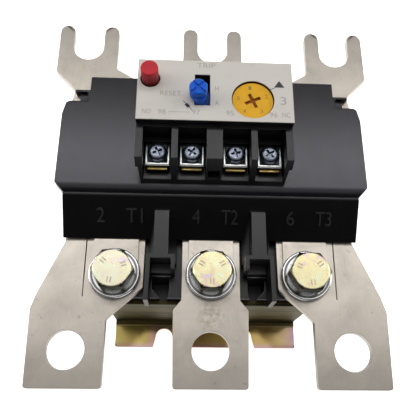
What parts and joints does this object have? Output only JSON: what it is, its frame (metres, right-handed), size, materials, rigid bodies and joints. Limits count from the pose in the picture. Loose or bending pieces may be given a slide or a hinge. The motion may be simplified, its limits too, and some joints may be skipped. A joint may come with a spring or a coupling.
{
  "type": "thermal overload relay",
  "caption": "Large three-pole thermal overload relay with line forks, drilled load bars, slotted mounting foot, setting dial, reset knob, test button and auxiliary terminals.",
  "frame": {"origin": "centre of the bounding box in plan, in the plane of the mounting surface that the housing back and the bracket foot rest on", "axes": "+Z leaves the front panel, +Y points to the line-side forks, +X to the right seen from the front with the forks up"},
  "size_m": [0.1244, 0.1382, 0.08],
  "materials": {
    "label_grey": "satin",
    "black_plastic": "satin",
    "dark_grey_plastic": "matte",
    "plated_copper": "satin, tin-plated copper",
    "bare_copper": "satin",
    "bimetal_strip": "satin",
    "zinc_yellow": "yellow passivated zinc, slightly iridescent",
    "bolt_zinc": "pale yellow zinc",
    "bright_zinc": "bright zinc",
    "terminal_brass": "satin",
    "dial_yellow": "semi-gloss",
    "reset_blue": "semi-gloss",
    "test_red": "semi-gloss",
    "mechanism_plastic": "natural",
    "spring_steel": "bright"
  },
  "bodies": {
    "frame": {"base_housing": "black_plastic", "front_cover": "dark_grey_plastic", "terminal_cover": "black_plastic", "control_housing": "dark_grey_plastic", "label_plate": "label_grey", "load_bar_left": "plated_copper", "load_bar_middle": "plated_copper", "load_bar_right": "plated_copper", "line_fork_left": "plated_copper", "line_fork_middle": "plated_copper", "line_fork_right": "plated_copper", "heater_strap_left": "plated_copper", "heater_strap_middle": "plated_copper", "heater_strap_right": "plated_copper", "bimetal_left": "bimetal_strip", "bimetal_middle": "bimetal_strip", "bimetal_right": "bimetal_strip", "link_blocks": "bare_copper", "conductor_rivets": "bare_copper", "flat_washers": "bright_zinc", "spring_washers": "bright_zinc", "terminal_bolts": "bolt_zinc", "captive_nuts": "bright_zinc", "terminal_95": "terminal_brass", "terminal_96": "terminal_brass", "terminal_97": "terminal_brass", "terminal_98": "terminal_brass", "clamp_washers": "bright_zinc", "control_screws": "bright_zinc", "mechanism_plate": "mechanism_plastic", "reset_spring": "spring_steel", "test_spring": "spring_steel", "mount_bracket": "zinc_yellow", "bracket_screws": "bright_zinc"},
    "dial": {"setting_dial": "dial_yellow", "dial_cam": "mechanism_plastic"},
    "adjuster": {"adjust_slider": "mechanism_plastic"},
    "lever": {"trip_lever": "mechanism_plastic"},
    "slider": {"push_slider": "mechanism_plastic"},
    "carrier": {"contact_carrier": "mechanism_plastic", "bridge_nc": "terminal_brass", "bridge_no": "terminal_brass"},
    "reset": {"reset_plunger": "reset_blue"},
    "knob": {"reset_knob": "reset_blue"},
    "button": {"test_button": "test_red"}
  },
  "joints": [
    {"name": "test_push", "type": "slide", "parent": "frame", "child": "button", "axis": [0, 0, -1], "range_m": [0, 0.0025], "stiffness_N_per_m": 400, "springref_m": -0.0015, "deforming": ["test_spring"]},
    {"name": "reset_push", "type": "slide", "parent": "frame", "child": "reset", "axis": [0, 0, -1], "range_m": [0, 0.0012], "stiffness_N_per_m": 500, "springref_m": -0.0015, "deforming": ["reset_spring"]},
    {"name": "reset_turn", "type": "hinge", "parent": "reset", "child": "knob", "pos_m": [-0.006, 0.0255, 0.078], "axis": [0, 0, 1], "range_deg": [0, 90]},
    {"name": "dial_turn", "type": "hinge", "parent": "frame", "child": "dial", "pos_m": [0.013, 0.0248, 0.072], "axis": [0, 0, 1], "range_deg": [0, 240.01]},
    {"name": "adjust_shift", "type": "slide", "parent": "frame", "child": "adjuster", "axis": [1, 0, 0], "range_m": [0, 0.0012]},
    {"name": "slider_push", "type": "slide", "parent": "frame", "child": "slider", "axis": [1, 0, 0], "range_m": [0, 0.0012], "stiffness_N_per_m": 300, "springref_m": -0.001},
    {"name": "lever_trip", "type": "hinge", "parent": "adjuster", "child": "lever", "pos_m": [0.0045, 0.024, 0.0513], "axis": [0, 0, -1], "range_deg": [0, 8]},
    {"name": "carrier_trip", "type": "slide", "parent": "frame", "child": "carrier", "axis": [0, 1, 0], "range_m": [0, 0.0015]}
  ],
  "couplings": [
    {"joint": "dial_turn", "follows": "adjust_shift", "rad_per_m": 3490.7},
    {"joint": "lever_trip", "follows": "slider_push", "rad_per_m": 116.36},
    {"joint": "carrier_trip", "follows": "slider_push", "ratio": 1.25}
  ]
}
